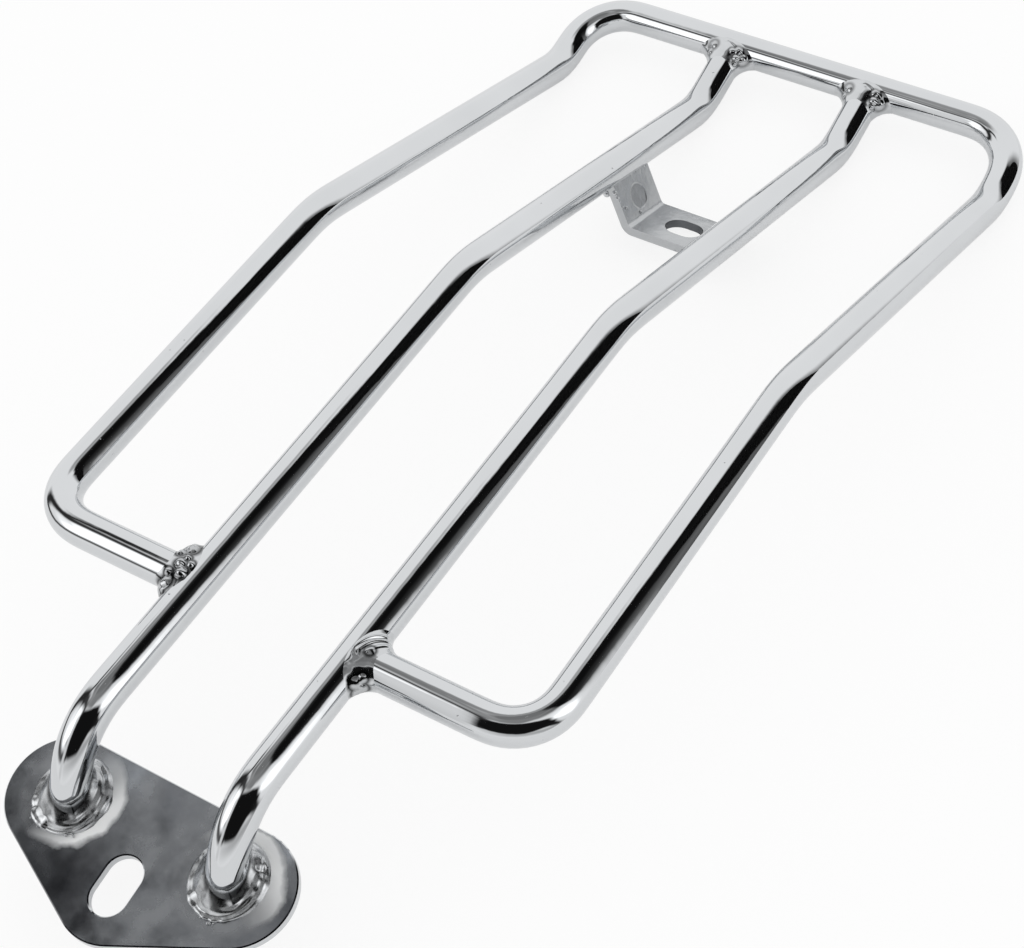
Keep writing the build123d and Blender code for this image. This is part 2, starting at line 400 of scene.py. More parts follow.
def eased(line):
    """The line again in even steps, with each point averaged over its neighbours."""
    reach = 2 * EASE_CUT * EASE
    first, last = line[0] - line[1], line[-1] - line[-2]
    line = np.vstack([line[0] + first / np.linalg.norm(first) * reach, line,
                      line[-1] + last / np.linalg.norm(last) * reach])
    travel = np.concatenate([[0], np.cumsum(np.linalg.norm(np.diff(line, axis=0), axis=1))])
    even = np.arange(0, travel[-1], LINE_STEP)
    line = np.stack([np.interp(even, travel, line[:, c]) for c in range(3)], axis=1)
    side_steps = round(EASE_CUT * EASE / LINE_STEP)
    span = np.arange(-side_steps, side_steps + 1) * LINE_STEP
    weight = np.exp(-0.5 * (span / EASE) ** 2)
    line = np.stack([np.convolve(line[:, c], weight / weight.sum(), "same") for c in range(3)], axis=1)
    keep = round(reach / LINE_STEP)
    return line[keep:len(line) - keep]


inner_points = [(INNER_X, *p) for p in (LEG_LOW, LEG_TOP, KINK, HEEL, TAIL)]
inner_line = eased(bent_line(inner_points, [LEG_R, KINK_R, HEEL_R]))
half = [(INNER_X, STUB_Y, KINK[1]), (HOOP_X, STUB_Y, KINK[1])] + [(HOOP_X, *p) for p in (KINK, HEEL, TAIL)]
bends = [FRONT_CORNER_R, KINK_R, HEEL_R, REAR_CORNER_R]
hoop_line = eased(bent_line(half + [(-x, y, z) for x, y, z in half[::-1]], bends + bends[::-1]))
print("inner bar line", len(inner_line), "points, hoop line", len(hoop_line), "points")


# %% Rods swept along the lines
def skin_of(name, loops):
    """A closed mesh over loops of points of equal number, with a fan over each end."""
    count = len(loops[0])
    points = [p for loop in loops for p in loop]
    faces = []
    for k in range(len(loops) - 1):
        for i in range(count):
            j = (i + 1) % count
            faces.append((k * count + i, k * count + j, (k + 1) * count + j, (k + 1) * count + i))
    for loop, base, turn in ((loops[0], 0, -1), (loops[-1], (len(loops) - 1) * count, 1)):
        points.append(sum(loop, Vector()) / count)
        for i in range(count):
            faces.append((base + i, base + (i + 1) % count, len(points) - 1)[::turn])
    mesh = bpy.data.meshes.new(name)
    mesh.from_pydata(points, [], faces)
    for face in mesh.polygons:
        face.use_smooth = True
    return mesh


def rings_on(line):
    """Rings of points round a line, each turned as little as possible from the one before."""
    line = [Vector(p) for p in line[::RING_EVERY]]
    side = Vector((0, 0, 1)).cross(line[1] - line[0]).normalized()
    rings = []
    for k, centre in enumerate(line):
        ahead = (line[min(k + 1, len(line) - 1)] - line[max(k - 1, 0)]).normalized()
        side = (side - ahead * side.dot(ahead)).normalized()
        up = ahead.cross(side)
        rings.append([centre + (side * math.cos(a) + up * math.sin(a)) * BAR_R
                      for a in np.linspace(0, 2 * math.pi, ROUND, endpoint=False)])
    return rings


def coped(ring, ahead, axis_at, axis):
    """The ring pushed ahead, or drawn back, until it lies on a bar that crosses in front of it."""
    ahead, axis = Vector(ahead).normalized(), Vector(axis)
    out = []
    for p in ring:
        off = p - Vector(axis_at)
        beside = off.dot(ahead.cross(axis))
        out.append(p - ahead * (off.dot(ahead) + math.sqrt(max(BAR_R ** 2 - beside ** 2, 0))))
    return out


def make_rod(name, node, loops):
    """Makes a rod over loops in millimetres, and puts it in its node's place."""
    mesh = skin_of(name, [[p * MM for p in loop] for loop in loops])
    mesh.materials.append(bar_chrome)
    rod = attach(put(name, mesh), "root")
    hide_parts(node)
    print(name, len(mesh.polygons), "faces")


# %% Inner rods, from the foot on the plate to the cope on the cross run
FOOT = Vector((INNER_X, 14.925, 5.291))
UP_PLATE = Vector((0, -math.sin(math.radians(PLATE_TILT)), math.cos(math.radians(PLATE_TILT))))
REAR_PLATE = Vector((0, math.cos(math.radians(PLATE_TILT)), math.sin(math.radians(PLATE_TILT))))
CLEAR_OF_COPE = BAR_R + 1.0

for side, sign in (("left", -1), ("right", 1)):
    line = inner_line[np.linalg.norm(inner_line - inner_line[-1], axis=1) > CLEAR_OF_COPE] * (sign, 1, 1)
    loops = rings_on(line)
    down = Vector(line[0] - line[1]).normalized()
    foot = [p + down * ((FOOT - p).dot(UP_PLATE) / down.dot(UP_PLATE)) for p in loops[0]]
    tail = coped(loops[-1], line[-1] - line[-2], inner_line[-1] * (sign, 1, 1), (1, 0, 0))
    make_rod(side + "_inner_rod", side + "_inner_bar", [foot] + loops + [tail])

# %% Hoop rod, coped to the inner rods at both ends
ends = np.minimum(*[np.linalg.norm(hoop_line - hoop_line[k], axis=1) for k in (0, -1)])
loops = rings_on(hoop_line[ends > CLEAR_OF_COPE])
first = coped(loops[0], (-1, 0, 0), hoop_line[0], (0, 1, 0))
last = coped(loops[-1], (1, 0, 0), hoop_line[-1], (0, 1, 0))
make_rod("outer_hoop_rod", "outer_hoop", [first] + loops + [last])

# %% [markdown]
# The plate is rolled sheet that was hardly polished before it was plated, so its chrome is duller and a
# little cloudy: the reflection is blurred by the fine grain of the sheet, mottled by stains under the
# plating and bent where the heat of welding warped the sheet. Round each weld the sheet was rubbed down
# with a disc, which leaves a satin halo with a ragged edge. On the halo a painted highlight turns the
# colour pale and less metallic, brightest on one side of each weld. The halo is found by the distance to
# the two welds, roughened by noise. At the front left the colour is darker. The sheared edges were broken
# on a belt, so they are as bright as the bars, but for a painted dark reflection on the corner on the
# right and the front.

# %% Dull chrome on rolled sheet
SKIRT_SHIFT = 2.0
HALO_R_MM = 17.4
HALO_EDGE_MM = 1.0
HALO_RAG_MM = 8.0
HALO_BRIGHT_REACH_MM = 13.0
HALO_BACK_MM = 2.6
HALO_LEAST = 0.08
HALO_METAL = 0.45
HALO_BRIGHT_SIDES = [Vector((0.97, -0.26, 0)), Vector((0.50, 0.87, 0))]
MOTTLE_MM = 11.0
DARK_FRONT_LEFT_AT = Vector((-24, -10, 2.5))
DARK_FRONT_LEFT_R_MM = 36.0
DARK_FRONT_LEFT_MOST = 0.9
WARP_MM = 34.0
WARP_DEEP_MM = 1.1
GRAIN_MM = 1.6
GRAIN_DEEP_MM = 0.012
SHEET_SMOOTH, SHEET_DULL = 0.15, 0.30
HALO_ROUGH, EDGE_ROUGH = 0.75, 0.07
STAIN_LOW, STAIN_HIGH = 0.3, 0.7
FACE_FROM, FACE_FULL = 0.80, 0.95
SLANT_FROM, SLANT_FULL = 0.3, 0.5
DARK_EDGE_SIDE = Vector((0.85, -0.53, 0))
DARK_EDGE_FULL = 0.2

skirt_seats = [(Vector((sign * FOOT.x, FOOT.y, FOOT.z)) + REAR_PLATE * SKIRT_SHIFT) * MM for sign in (-1, 1)]
sheet_chrome, tree = new_material("chrome_plated_rolled_sheet")
where = add(tree, "ShaderNodeTexCoord").outputs["Object"]
stain = add(tree, "ShaderNodeTexNoise", {"Vector": where, "Scale": per_metre(MOTTLE_MM), "Detail": 4.0,
                                         "Roughness": 0.5})
warp = add(tree, "ShaderNodeTexNoise", {"Vector": where, "Scale": per_metre(WARP_MM), "Detail": 2.0})
grain = add(tree, "ShaderNodeTexNoise", {"Vector": where, "Scale": per_metre(GRAIN_MM), "Detail": 3.0})

# Halo, a rubbed satin patch with a painted highlight: one near a weld, nought beyond a ragged edge, and
# brightest on one side of each weld
halos = []
rim_at = HALO_R_MM + HALO_RAG_MM / 2
for seat, brightest_toward in zip(skirt_seats, HALO_BRIGHT_SIDES):
    away = add(tree, "ShaderNodeVectorMath", {0: where, 1: seat}, operation="SUBTRACT")
    far = add(tree, "ShaderNodeVectorMath", {0: away.outputs[0]}, operation="LENGTH")
    ragged = add(tree, "ShaderNodeMath", {0: stain.outputs[0], 1: HALO_RAG_MM * MM, 2: far.outputs["Value"]},
                 operation="MULTIPLY_ADD")
    inside = add(tree, "ShaderNodeMapRange", {
        "Value": ragged.outputs[0], "From Min": (rim_at - HALO_EDGE_MM) * MM,
        "From Max": (rim_at + HALO_EDGE_MM) * MM, "To Min": 1.0, "To Max": 0.0})
    toward = add(tree, "ShaderNodeVectorMath", {0: away.outputs[0], 1: brightest_toward}, operation="DOT_PRODUCT")
    side_weight = add(tree, "ShaderNodeMapRange", {
        "Value": toward.outputs["Value"], "From Min": -HALO_BACK_MM * MM, "From Max": HALO_BRIGHT_REACH_MM * MM,
        "To Min": HALO_LEAST})
    rubbed_and_lit = add(tree, "ShaderNodeMath", {0: inside.outputs[0], 1: side_weight.outputs[0]}, operation="MULTIPLY")
    halos.append(rubbed_and_lit)
halo = add(tree, "ShaderNodeMath", {0: halos[0].outputs[0], 1: halos[1].outputs[0]}, operation="MAXIMUM")

# Edge: one on the sheared sides and their broken corner, nought on the two faces
normal = add(tree, "ShaderNodeNewGeometry").outputs["Normal"]
facing = add(tree, "ShaderNodeVectorMath", {0: normal, 1: UP_PLATE}, operation="DOT_PRODUCT")
flatness = add(tree, "ShaderNodeMath", {0: facing.outputs["Value"]}, operation="ABSOLUTE")
edge = add(tree, "ShaderNodeMapRange", {"Value": flatness.outputs[0], "From Min": FACE_FROM,
                                        "From Max": FACE_FULL, "To Min": 1.0, "To Max": 0.0})

# Painted dark reflection: one on the broken corner where it looks to the right and the front
slanted = add(tree, "ShaderNodeMapRange", {"Value": flatness.outputs[0], "From Min": SLANT_FROM,
                                           "From Max": SLANT_FULL})
aside = add(tree, "ShaderNodeVectorMath", {0: normal, 1: DARK_EDGE_SIDE}, operation="DOT_PRODUCT")
toward_dark_side = add(tree, "ShaderNodeMapRange", {"Value": aside.outputs["Value"], "From Max": DARK_EDGE_FULL})
corner = add(tree, "ShaderNodeMath", {0: slanted.outputs[0], 1: edge.outputs[0]}, operation="MULTIPLY")
painted_dark_edge = add(tree, "ShaderNodeMath", {0: corner.outputs[0], 1: toward_dark_side.outputs[0]}, operation="MULTIPLY")

# Roughness and colour: each layer is laid over the one before, from the stained sheet up to the painted dark
# reflection on the corner
dull = add(tree, "ShaderNodeMapRange", {"Value": stain.outputs[0], "From Min": STAIN_LOW,
                                        "From Max": STAIN_HIGH, "To Min": SHEET_SMOOTH, "To Max": SHEET_DULL})
satin = add(tree, "ShaderNodeMix", {"Factor": halo.outputs[0], "A": dull.outputs[0], "B": HALO_ROUGH},
            data_type="FLOAT")
rough = add(tree, "ShaderNodeMix", {"Factor": edge.outputs[0], "A": satin.outputs[0], "B": EDGE_ROUGH},
            data_type="FLOAT")
blotch = add(tree, "ShaderNodeMapRange", {"Value": stain.outputs[0], "From Min": STAIN_LOW,
                                          "From Max": STAIN_HIGH})
cloudy = add(tree, "ShaderNodeMix", {"Factor": blotch.outputs[0], "A": linear("#7e8186"),
                                     "B": linear("#b4b7bb")}, data_type="RGBA")
# The colour darkens towards a point at the front left and fades out round it
far = add(tree, "ShaderNodeVectorMath", {0: where, 1: DARK_FRONT_LEFT_AT * MM}, operation="DISTANCE")
front_left_dark = add(tree, "ShaderNodeMapRange", {
    "Value": far.outputs["Value"], "From Max": DARK_FRONT_LEFT_R_MM * MM, "To Min": DARK_FRONT_LEFT_MOST, "To Max": 0.0},
    interpolation_type="SMOOTHSTEP")
darker_front_left = add(tree, "ShaderNodeMix", {"Factor": front_left_dark.outputs[0], "A": cloudy.outputs[2],
                                     "B": linear("#4b4d51")}, data_type="RGBA")
# Painted highlight: the halo turns the colour pale, near white
painted_highlight = add(tree, "ShaderNodeMix", {"Factor": halo.outputs[0], "A": darker_front_left.outputs[2], "B": linear("#f4f5f5")},
           data_type="RGBA")
bright = add(tree, "ShaderNodeMix", {"Factor": edge.outputs[0], "A": painted_highlight.outputs[2],
                                     "B": linear("#d4d6d8")}, data_type="RGBA")
# Painted dark reflection: the corner goes near black where it looks to the right and the front
colour = add(tree, "ShaderNodeMix", {"Factor": painted_dark_edge.outputs[0], "A": bright.outputs[2],
                                     "B": linear("#16171a")}, data_type="RGBA")

# Grain and warp: on the two faces only, so that the broken corner stays a clean line. The real grain is
# too fine to show, so it is drawn coarser.
face = add(tree, "ShaderNodeMath", {0: 1.0, 1: edge.outputs[0]}, operation="SUBTRACT")
bump = add(tree, "ShaderNodeBump", {"Height": grain.outputs[0], "Distance": GRAIN_DEEP_MM * MM,
                                    "Strength": face.outputs[0]})
bend = add(tree, "ShaderNodeBump", {"Height": warp.outputs[0], "Distance": WARP_DEEP_MM * MM,
                                    "Strength": face.outputs[0], "Normal": bump.outputs[0]})
# Painted highlight: the halo also makes the sheet less metallic, so its pale colour shows brighter
metal = add(tree, "ShaderNodeMapRange", {"Value": halo.outputs[0], "To Min": 1.0, "To Max": HALO_METAL})
skin = add(tree, "ShaderNodeBsdfPrincipled", {"Metallic": metal.outputs[0], "Roughness": rough.outputs[0],
                                              "Normal": bend.outputs[0], "Base Color": colour.outputs[2]})
add(tree, "ShaderNodeOutputMaterial", {"Surface": skin.outputs[0]})
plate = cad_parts["front_mount_plate"]
plate.data.materials.clear()
plate.data.materials.append(sheet_chrome)
print("plate chrome has", len(tree.nodes), "nodes")
print("halos round", [[round(c / MM, 1) for c in seat] for seat in skirt_seats])

# %% [markdown]
# The rear bracket is flat strip, sheared and folded. It hangs below the bars where the polishing mop
# hardly reached, so it stays satin, with a few shallow pits, soft hollows, and on the left leg a round
# mark: a shallow ring round one point, a little darker inside. The wall of the punched slot is darkened
# as painted shade: it is found by its normal and its place.

# %% Satin chrome on folded strip
STRIP_WAVE_MM = 14.0
HOLLOW_DEEP_MM = 0.5
STRIP_STAIN_MM = 6.0
STRIP_PIT_MM = 4.5
PIT_R_MM = 0.45
PIT_DEEP_MM = 0.12
STRIP_SMOOTH, STRIP_DULL = 0.17, 0.27
MARK_AT = Vector((-20.8, 338.3, -15.2))
MARK_R_MM = 5.2
MARK_EDGE_MM = 0.7
MARK_DEEP_MM = 0.20
SLOT_AT = Vector((0, 335.5, -23.3))
SLOT_REACH_MM = 11.0
WALL_FULL, WALL_FROM = 0.3, 0.6
UP_STRIP = Vector((0, math.sin(math.radians(MID_FALL)), math.cos(math.radians(MID_FALL))))

strip_chrome, tree = new_material("chrome_plated_satin_strip")
where = add(tree, "ShaderNodeTexCoord").outputs["Object"]
wave = add(tree, "ShaderNodeTexNoise", {"Vector": where, "Scale": per_metre(STRIP_WAVE_MM), "Detail": 3.0})
stain = add(tree, "ShaderNodeTexNoise", {"Vector": where, "Scale": per_metre(STRIP_STAIN_MM), "Detail": 5.0})
pits = add(tree, "ShaderNodeTexVoronoi", {"Vector": where, "Scale": per_metre(STRIP_PIT_MM)})
pit = add(tree, "ShaderNodeMapRange", {"Value": pits.outputs["Distance"],
                                       "From Max": PIT_R_MM / STRIP_PIT_MM})
away = add(tree, "ShaderNodeVectorMath", {0: where, 1: MARK_AT * MM}, operation="DISTANCE")
mark = add(tree, "ShaderNodeMapRange", {
    "Value": away.outputs["Value"], "From Min": (MARK_R_MM - MARK_EDGE_MM) * MM, "From Max": MARK_R_MM * MM},
    interpolation_type="SMOOTHSTEP")
hollow = add(tree, "ShaderNodeBump", {"Height": wave.outputs[0], "Distance": HOLLOW_DEEP_MM * MM})
dents = add(tree, "ShaderNodeBump", {"Height": pit.outputs[0], "Distance": PIT_DEEP_MM * MM,
                                     "Normal": hollow.outputs[0]})
ring = add(tree, "ShaderNodeBump", {"Height": mark.outputs[0], "Distance": MARK_DEEP_MM * MM,
                                    "Normal": dents.outputs[0]})
rough = add(tree, "ShaderNodeMapRange", {
    "Value": stain.outputs[0], "From Min": STAIN_LOW, "From Max": STAIN_HIGH, "To Min": STRIP_SMOOTH,
    "To Max": STRIP_DULL})
colour = add(tree, "ShaderNodeMix", {"Factor": stain.outputs[0], "A": linear("#b2b4b6"),
                                     "B": linear("#c8cacc")}, data_type="RGBA")
# A round mark on the left leg: the colour is a little darker inside it
darker_disc = add(tree, "ShaderNodeMix", {"Factor": mark.outputs[0], "A": linear("#a8aaac"),
                                      "B": colour.outputs[2]}, data_type="RGBA")
normal = add(tree, "ShaderNodeNewGeometry").outputs["Normal"]
facing = add(tree, "ShaderNodeVectorMath", {0: normal, 1: UP_STRIP}, operation="DOT_PRODUCT")
flatness = add(tree, "ShaderNodeMath", {0: facing.outputs["Value"]}, operation="ABSOLUTE")
wall = add(tree, "ShaderNodeMapRange", {"Value": flatness.outputs[0], "From Min": WALL_FULL,
                                        "From Max": WALL_FROM, "To Min": 1.0, "To Max": 0.0})
far = add(tree, "ShaderNodeVectorMath", {0: where, 1: SLOT_AT * MM}, operation="DISTANCE")
near = add(tree, "ShaderNodeMath", {0: far.outputs["Value"], 1: SLOT_REACH_MM * MM}, operation="LESS_THAN")
painted_wall_shade = add(tree, "ShaderNodeMath", {0: wall.outputs[0], 1: near.outputs[0]}, operation="MULTIPLY")
# Painted shade: the wall of the slot is mixed to a dark grey
shaded = add(tree, "ShaderNodeMix", {"Factor": painted_wall_shade.outputs[0], "A": darker_disc.outputs[2],
                                     "B": linear("#6a6c6f")}, data_type="RGBA")
skin = add(tree, "ShaderNodeBsdfPrincipled", {"Metallic": 1.0, "Roughness": rough.outputs[0],
                                              "Normal": ring.outputs[0], "Base Color": shaded.outputs[2]})
add(tree, "ShaderNodeOutputMaterial", {"Surface": skin.outputs[0]})
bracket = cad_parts["rear_bracket"]
bracket.data.materials.clear()
bracket.data.materials.append(strip_chrome)
print("bracket chrome has", len(tree.nodes), "nodes")

# %% [markdown]
# A weld bead is a row of frozen puddles that runs hollow from one piece up to the other. The CAD solid
# gives each bead its place and its bulk in flat facets; here the same bead is drawn as rings from its toe
# to its upper edge, on a curve that leaves both pieces smoothly. Ridges, lumps and spatter are pushed out
# of it as real geometry, so that the chrome breaks into sparkles. A loft of rings was chosen over
# metaballs because its surface stays clean and each lump can be placed where the photograph shows it.


# %% Bead helpers
BEAD_AROUND = 180
BEAD_ROWS = 44
SWAY = 0.04
SWAY_WAVES = 2
SWAY_SHIFT = 7
LUMP_ROUND = 1.3
WOBBLE_MM = 0.22
WOBBLE_PER_MM = 0.30
CREVICE_AT = 1.15
CREVICE_HALF = 0.60
TOP_SHADE = 0.20
LIP_FROM, LIP_FULL = 0.84, 0.95


def ridge_rise(ridges, level, angle):
    """How far the ridges stand out at a level from toe to edge and an angle in degrees."""
    total = 0.0
    for at, width, rise, middle, span in ridges:
        sway = SWAY * math.sin(math.radians(SWAY_WAVES * angle) + SWAY_SHIFT * at)
        off = (level - at - sway) / width
        turn = ((angle - middle + 180) % 360 - 180) / span
        if abs(off) < 1 and abs(turn) < 1:
            total += rise * (1 - off * off) ** 2 * (1 - turn * turn)
    return total


def bead_loops(toe, corner, edge, ridges, lumps, painted_shade):
    """Rings of points in millimetres over a hollow bead, from its toe up to its upper edge.

    The first three give a point for an angle: on the lower piece, in the corner, and on the upper piece.
    A ridge is its level from 0 to 1, its half width in levels, its rise in millimetres, and its middle and
    half span in degrees. A lump is its angle, its level, its reach in millimetres and its rise. The second
    list says how much painted shade each point gets. The last argument gives two numbers: the most painted
    shade in the crevices round the lumps, and the most along the upper edge.
    """
    angles = np.linspace(0, 2 * math.pi, BEAD_AROUND, endpoint=False)
    base = []
    for k in range(BEAD_ROWS + 1):
        t = k / BEAD_ROWS
        base.append([toe(a) * (1 - t) ** 2 + corner(a) * 2 * t * (1 - t) + edge(a) * t * t for a in angles])
    centres = [(base[round(level * BEAD_ROWS)][round(angle / 360 * BEAD_AROUND) % BEAD_AROUND], reach, rise)
               for angle, level, reach, rise in lumps]
    pushed, dark = [], []
    for k, loop in enumerate(base):
        upper, lower = base[min(k + 1, BEAD_ROWS)], base[max(k - 1, 0)]
        fade = math.sin(math.pi * k / BEAD_ROWS)
        out = []
        for i, p in enumerate(loop):
            normal = (loop[(i + 1) % BEAD_AROUND] - loop[i - 1]).cross(upper[i] - lower[i]).normalized()
            rise = ridge_rise(ridges, k / BEAD_ROWS, math.degrees(angles[i]))
            rise += WOBBLE_MM * fade * noise.noise(p * WOBBLE_PER_MM)
            nearest = CREVICE_AT + CREVICE_HALF
            for centre, reach, high in centres:
                gap = (p - centre).length / reach
                nearest = min(nearest, gap)
                if gap < 1:
                    rise += high * (1 - gap * gap) ** LUMP_ROUND
            out.append(p + normal * rise)
            # Painted shade: darkest in a ring round each lump, a little on the lumps' tops, and along the
            # upper edge
            top = TOP_SHADE if nearest < CREVICE_AT else 0
            crevice = max(1 - abs(nearest - CREVICE_AT) / CREVICE_HALF, top)
            lip = min(max((k / BEAD_ROWS - LIP_FROM) / (LIP_FULL - LIP_FROM), 0), 1)
            dark.append(max(painted_shade[0] * crevice, painted_shade[1] * lip))
        pushed.append(out)
    return pushed, dark


def add_balls(mesh, balls):
    """Adds small spatter balls of (centre, radius) to a mesh."""
    bm = bmesh.new()
    bm.from_mesh(mesh)
    for centre, radius in balls:
        bmesh.ops.create_icosphere(bm, subdivisions=3, radius=radius, matrix=Matrix.Translation(centre))
    for face in bm.faces:
        face.smooth = True
    bmesh.ops.recalc_face_normals(bm, faces=bm.faces)
    bm.to_mesh(mesh)
    bm.free()


def finish_bead(name, node, seat, loops, dark, balls, chrome):
    """Makes a bead from loops and spatter in the joint's own frame, and puts it in its node's place."""
    mesh = skin_of(name, [[seat @ (p * MM) for p in loop] for loop in loops])
    # The painted shade is stored on the bead as a value at each point
    mesh.attributes.new("painted_shade", "FLOAT", "POINT").data.foreach_set("value", list(dark) + [0.0, 0.0])
    add_balls(mesh, [(seat @ (Vector(c) * MM), r * MM) for c, r in balls])
    mesh.materials.append(chrome)
    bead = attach(put(name, mesh), "root")
    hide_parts(node)
    print(name, len(mesh.polygons), "faces")


def axes(origin, x, z):
    """A joint's frame from its origin in millimetres and the directions of its X and Z."""
    x, z = Vector(x).normalized(), Vector(z).normalized()
    turn = Matrix((x, z.cross(x), z)).transposed().to_4x4()
    return Matrix.Translation(Vector(origin) * MM) @ turn


# %% [markdown]
# Plating copies every lump of a bead. Two finishes are made from one graph: the collars on the bars were
# mopped nearly as bright as the bars, and the skirts on the plate were only brushed, so they mirror
# softly. In the crevices round the lumps, on their tops and along a skirt's upper edge the colour is
# darkened as painted shade, which a painted shade value at each point drives.

# %% Chrome on weld beads
CRUST_MM = 3.0
CRUST_DEEP_MM = 0.03
CRUST_LOW, CRUST_HIGH = 0.35, 0.65
BEAD_FINISHES = {"mopped": (0.05, 0.14), "brushed": (0.18, 0.32)}

bead_chromes = {}
for finish, (smooth, dull) in BEAD_FINISHES.items():
    bead_chromes[finish], tree = new_material("chrome_plated_" + finish + "_weld")
    where = add(tree, "ShaderNodeTexCoord").outputs["Object"]
    crust = add(tree, "ShaderNodeTexNoise", {"Vector": where, "Scale": per_metre(CRUST_MM), "Detail": 3.0})
    painted_shade = add(tree, "ShaderNodeAttribute", attribute_name="painted_shade")
    bump = add(tree, "ShaderNodeBump", {"Height": crust.outputs[0], "Distance": CRUST_DEEP_MM * MM})
    rough = add(tree, "ShaderNodeMapRange", {"Value": crust.outputs[0], "From Min": CRUST_LOW,
                                             "From Max": CRUST_HIGH, "To Min": smooth, "To Max": dull})
    clean = add(tree, "ShaderNodeMix", {"Factor": crust.outputs[0], "A": linear("#c6c8ca"),
                                        "B": linear("#d6d8da")}, data_type="RGBA")
    # Painted shade: the colour goes near black where the bead's painted shade value is high
    colour = add(tree, "ShaderNodeMix", {"Factor": painted_shade.outputs["Fac"], "A": clean.outputs[2],
                                         "B": linear("#1c1d1e")}, data_type="RGBA")
    skin = add(tree, "ShaderNodeBsdfPrincipled", {"Metallic": 1.0, "Roughness": rough.outputs[0],
                                                  "Normal": bump.outputs[0], "Base Color": colour.outputs[2]})
    add(tree, "ShaderNodeOutputMaterial", {"Surface": skin.outputs[0]})
    print(bead_chromes[finish].name, "has", len(tree.nodes), "nodes")

# %% [markdown]
# Each leg stands in a wide skirt of weld on the plate. It was run round the leg more than once, so it
# has a rounded toe all round, part of a second ridge on the right and a hollow up to the leg. Its upper
# edge is darkened as painted shade against the leg, and dips to a point at the front right, where the leg
# leans away and the corner is widest. A few drops of spatter lie along the front of the toe.

# %% Skirts on the plate
TOE_R = 13.3
SKIRT_LOW, SKIRT_HIGH = 1.8, 8.6
SKIRT_SHADE = (0.35, 0.80)
DIP_AT = math.radians(325)
LEG_RISE = 63.0
LEG_LEAN = math.radians(LEG_RISE - PLATE_TILT)
LEG_LONG = BAR_R / math.sin(LEG_LEAN)
SKIRT_FILL = 2.8
CORNER_UP = 1.0
SUNK_TOE = 0.3
SUNK_EDGE = 0.98
ALL_ROUND = 999
SKIRT_RIDGES = [(0.20, 0.21, 0.70, 0, ALL_ROUND), (0.52, 0.18, 0.45, 20, 120)]
SKIRT_LUMPS = {
    "left": [(240, 0.16, 3.4, 1.1), (255, 0.30, 2.4, 0.7), (85, 0.35, 3.2, 0.9), (70, 0.22, 2.2, 0.5),
             (330, 0.10, 5.0, 0.4), (10, 0.12, 5.0, 0.4), (215, 0.30, 2.0, 0.5)],
    "right": [(50, 0.40, 2.6, 0.9), (62, 0.52, 2.2, 0.7), (20, 0.36, 3.0, 0.4), (235, 0.30, 2.6, 0.6),
              (270, 0.14, 1.6, 0.4), (285, 0.10, 1.2, 0.35), (300, 0.14, 1.2, 0.3), (160, 0.30, 3.0, 0.5)],
}
DROPS = 9
DROP_TURN = (235, 310)
DROP_OUT = (12.4, 14.6)
DROP_UP = (0.0, 0.5)
DROP_R = (0.25, 0.5)


def skirt_toe(a):
    """The skirt's toe, just inside the plate."""
    return Vector((TOE_R * math.cos(a), TOE_R * math.sin(a), -SUNK_TOE))


def skirt_corner(a):
    """The corner between leg and plate, partly filled."""
    across, along = BAR_R + SKIRT_FILL, LEG_LONG + SKIRT_FILL
    return Vector((across * math.cos(a), along * math.sin(a) - SKIRT_SHIFT, CORNER_UP))


def skirt_edge(a):
    """The skirt's upper edge, just inside the leg."""
    high = SKIRT_LOW + (SKIRT_HIGH - SKIRT_LOW) * abs(math.sin((a - DIP_AT) / 2))
    lean = high / math.tan(LEG_LEAN)
    across, along = SUNK_EDGE * BAR_R, SUNK_EDGE * LEG_LONG
    return Vector((across * math.cos(a), along * math.sin(a) - SKIRT_SHIFT + lean, high))


for side, sign in (("left", -1), ("right", 1)):
    spread = random.Random(side)
    seat = axes(skirt_seats[(sign + 1) // 2] / MM, (1, 0, 0), UP_PLATE)
    drops = []
    for k in range(DROPS):
        a = math.radians(spread.uniform(*DROP_TURN))
        r = spread.uniform(*DROP_OUT)
        centre = (r * math.cos(a), r * math.sin(a), spread.uniform(*DROP_UP))
        drops.append((centre, spread.uniform(*DROP_R)))
    loops, dark = bead_loops(skirt_toe, skirt_corner, skirt_edge, SKIRT_RIDGES, SKIRT_LUMPS[side], SKIRT_SHADE)
    finish_bead(side + "_plate_bead", side + "_plate_weld", seat, loops, dark, drops, bead_chromes["brushed"])

# %% [markdown]
# Where a bar runs into the side of another, the welder filled the corner all round, and the polisher
# then smoothed what the belt could reach. So each collar is a hollow fillet that flares along the through
# bar, with a cluster of lumps left on the side that was hard to reach.

# %% Collars at the bar joints
FLARE = 7.0
WRAP = math.radians(88)
SEAT_R = BAR_R - 0.15
COLLAR_UP = 4.0
COLLAR_FILL = 0.8
COLLAR_CAP = 1.4
COLLAR_SHADE = {"stub": (0.95, 0.0), "rear": (0.60, 0.0)}
STUB_AT = (INNER_X, STUB_Y, KINK[1])
TAIL_AT = (INNER_X, *TAIL)
TO_HEEL = (0, -math.cos(math.radians(REAR_RISE)), -math.sin(math.radians(REAR_RISE)))
COLLAR_RIDGES = {
    "left_stub": [(0.25, 0.18, 0.5, 180, 60)],
    "right_stub": [(0.30, 0.10, 0.55, 55, 50), (0.48, 0.09, 0.5, 55, 50), (0.66, 0.09, 0.4, 50, 45)],
    "left_rear": [(0.35, 0.12, 0.4, 60, 50)],
    "right_rear": [(0.35, 0.12, 0.4, 60, 50)],
}
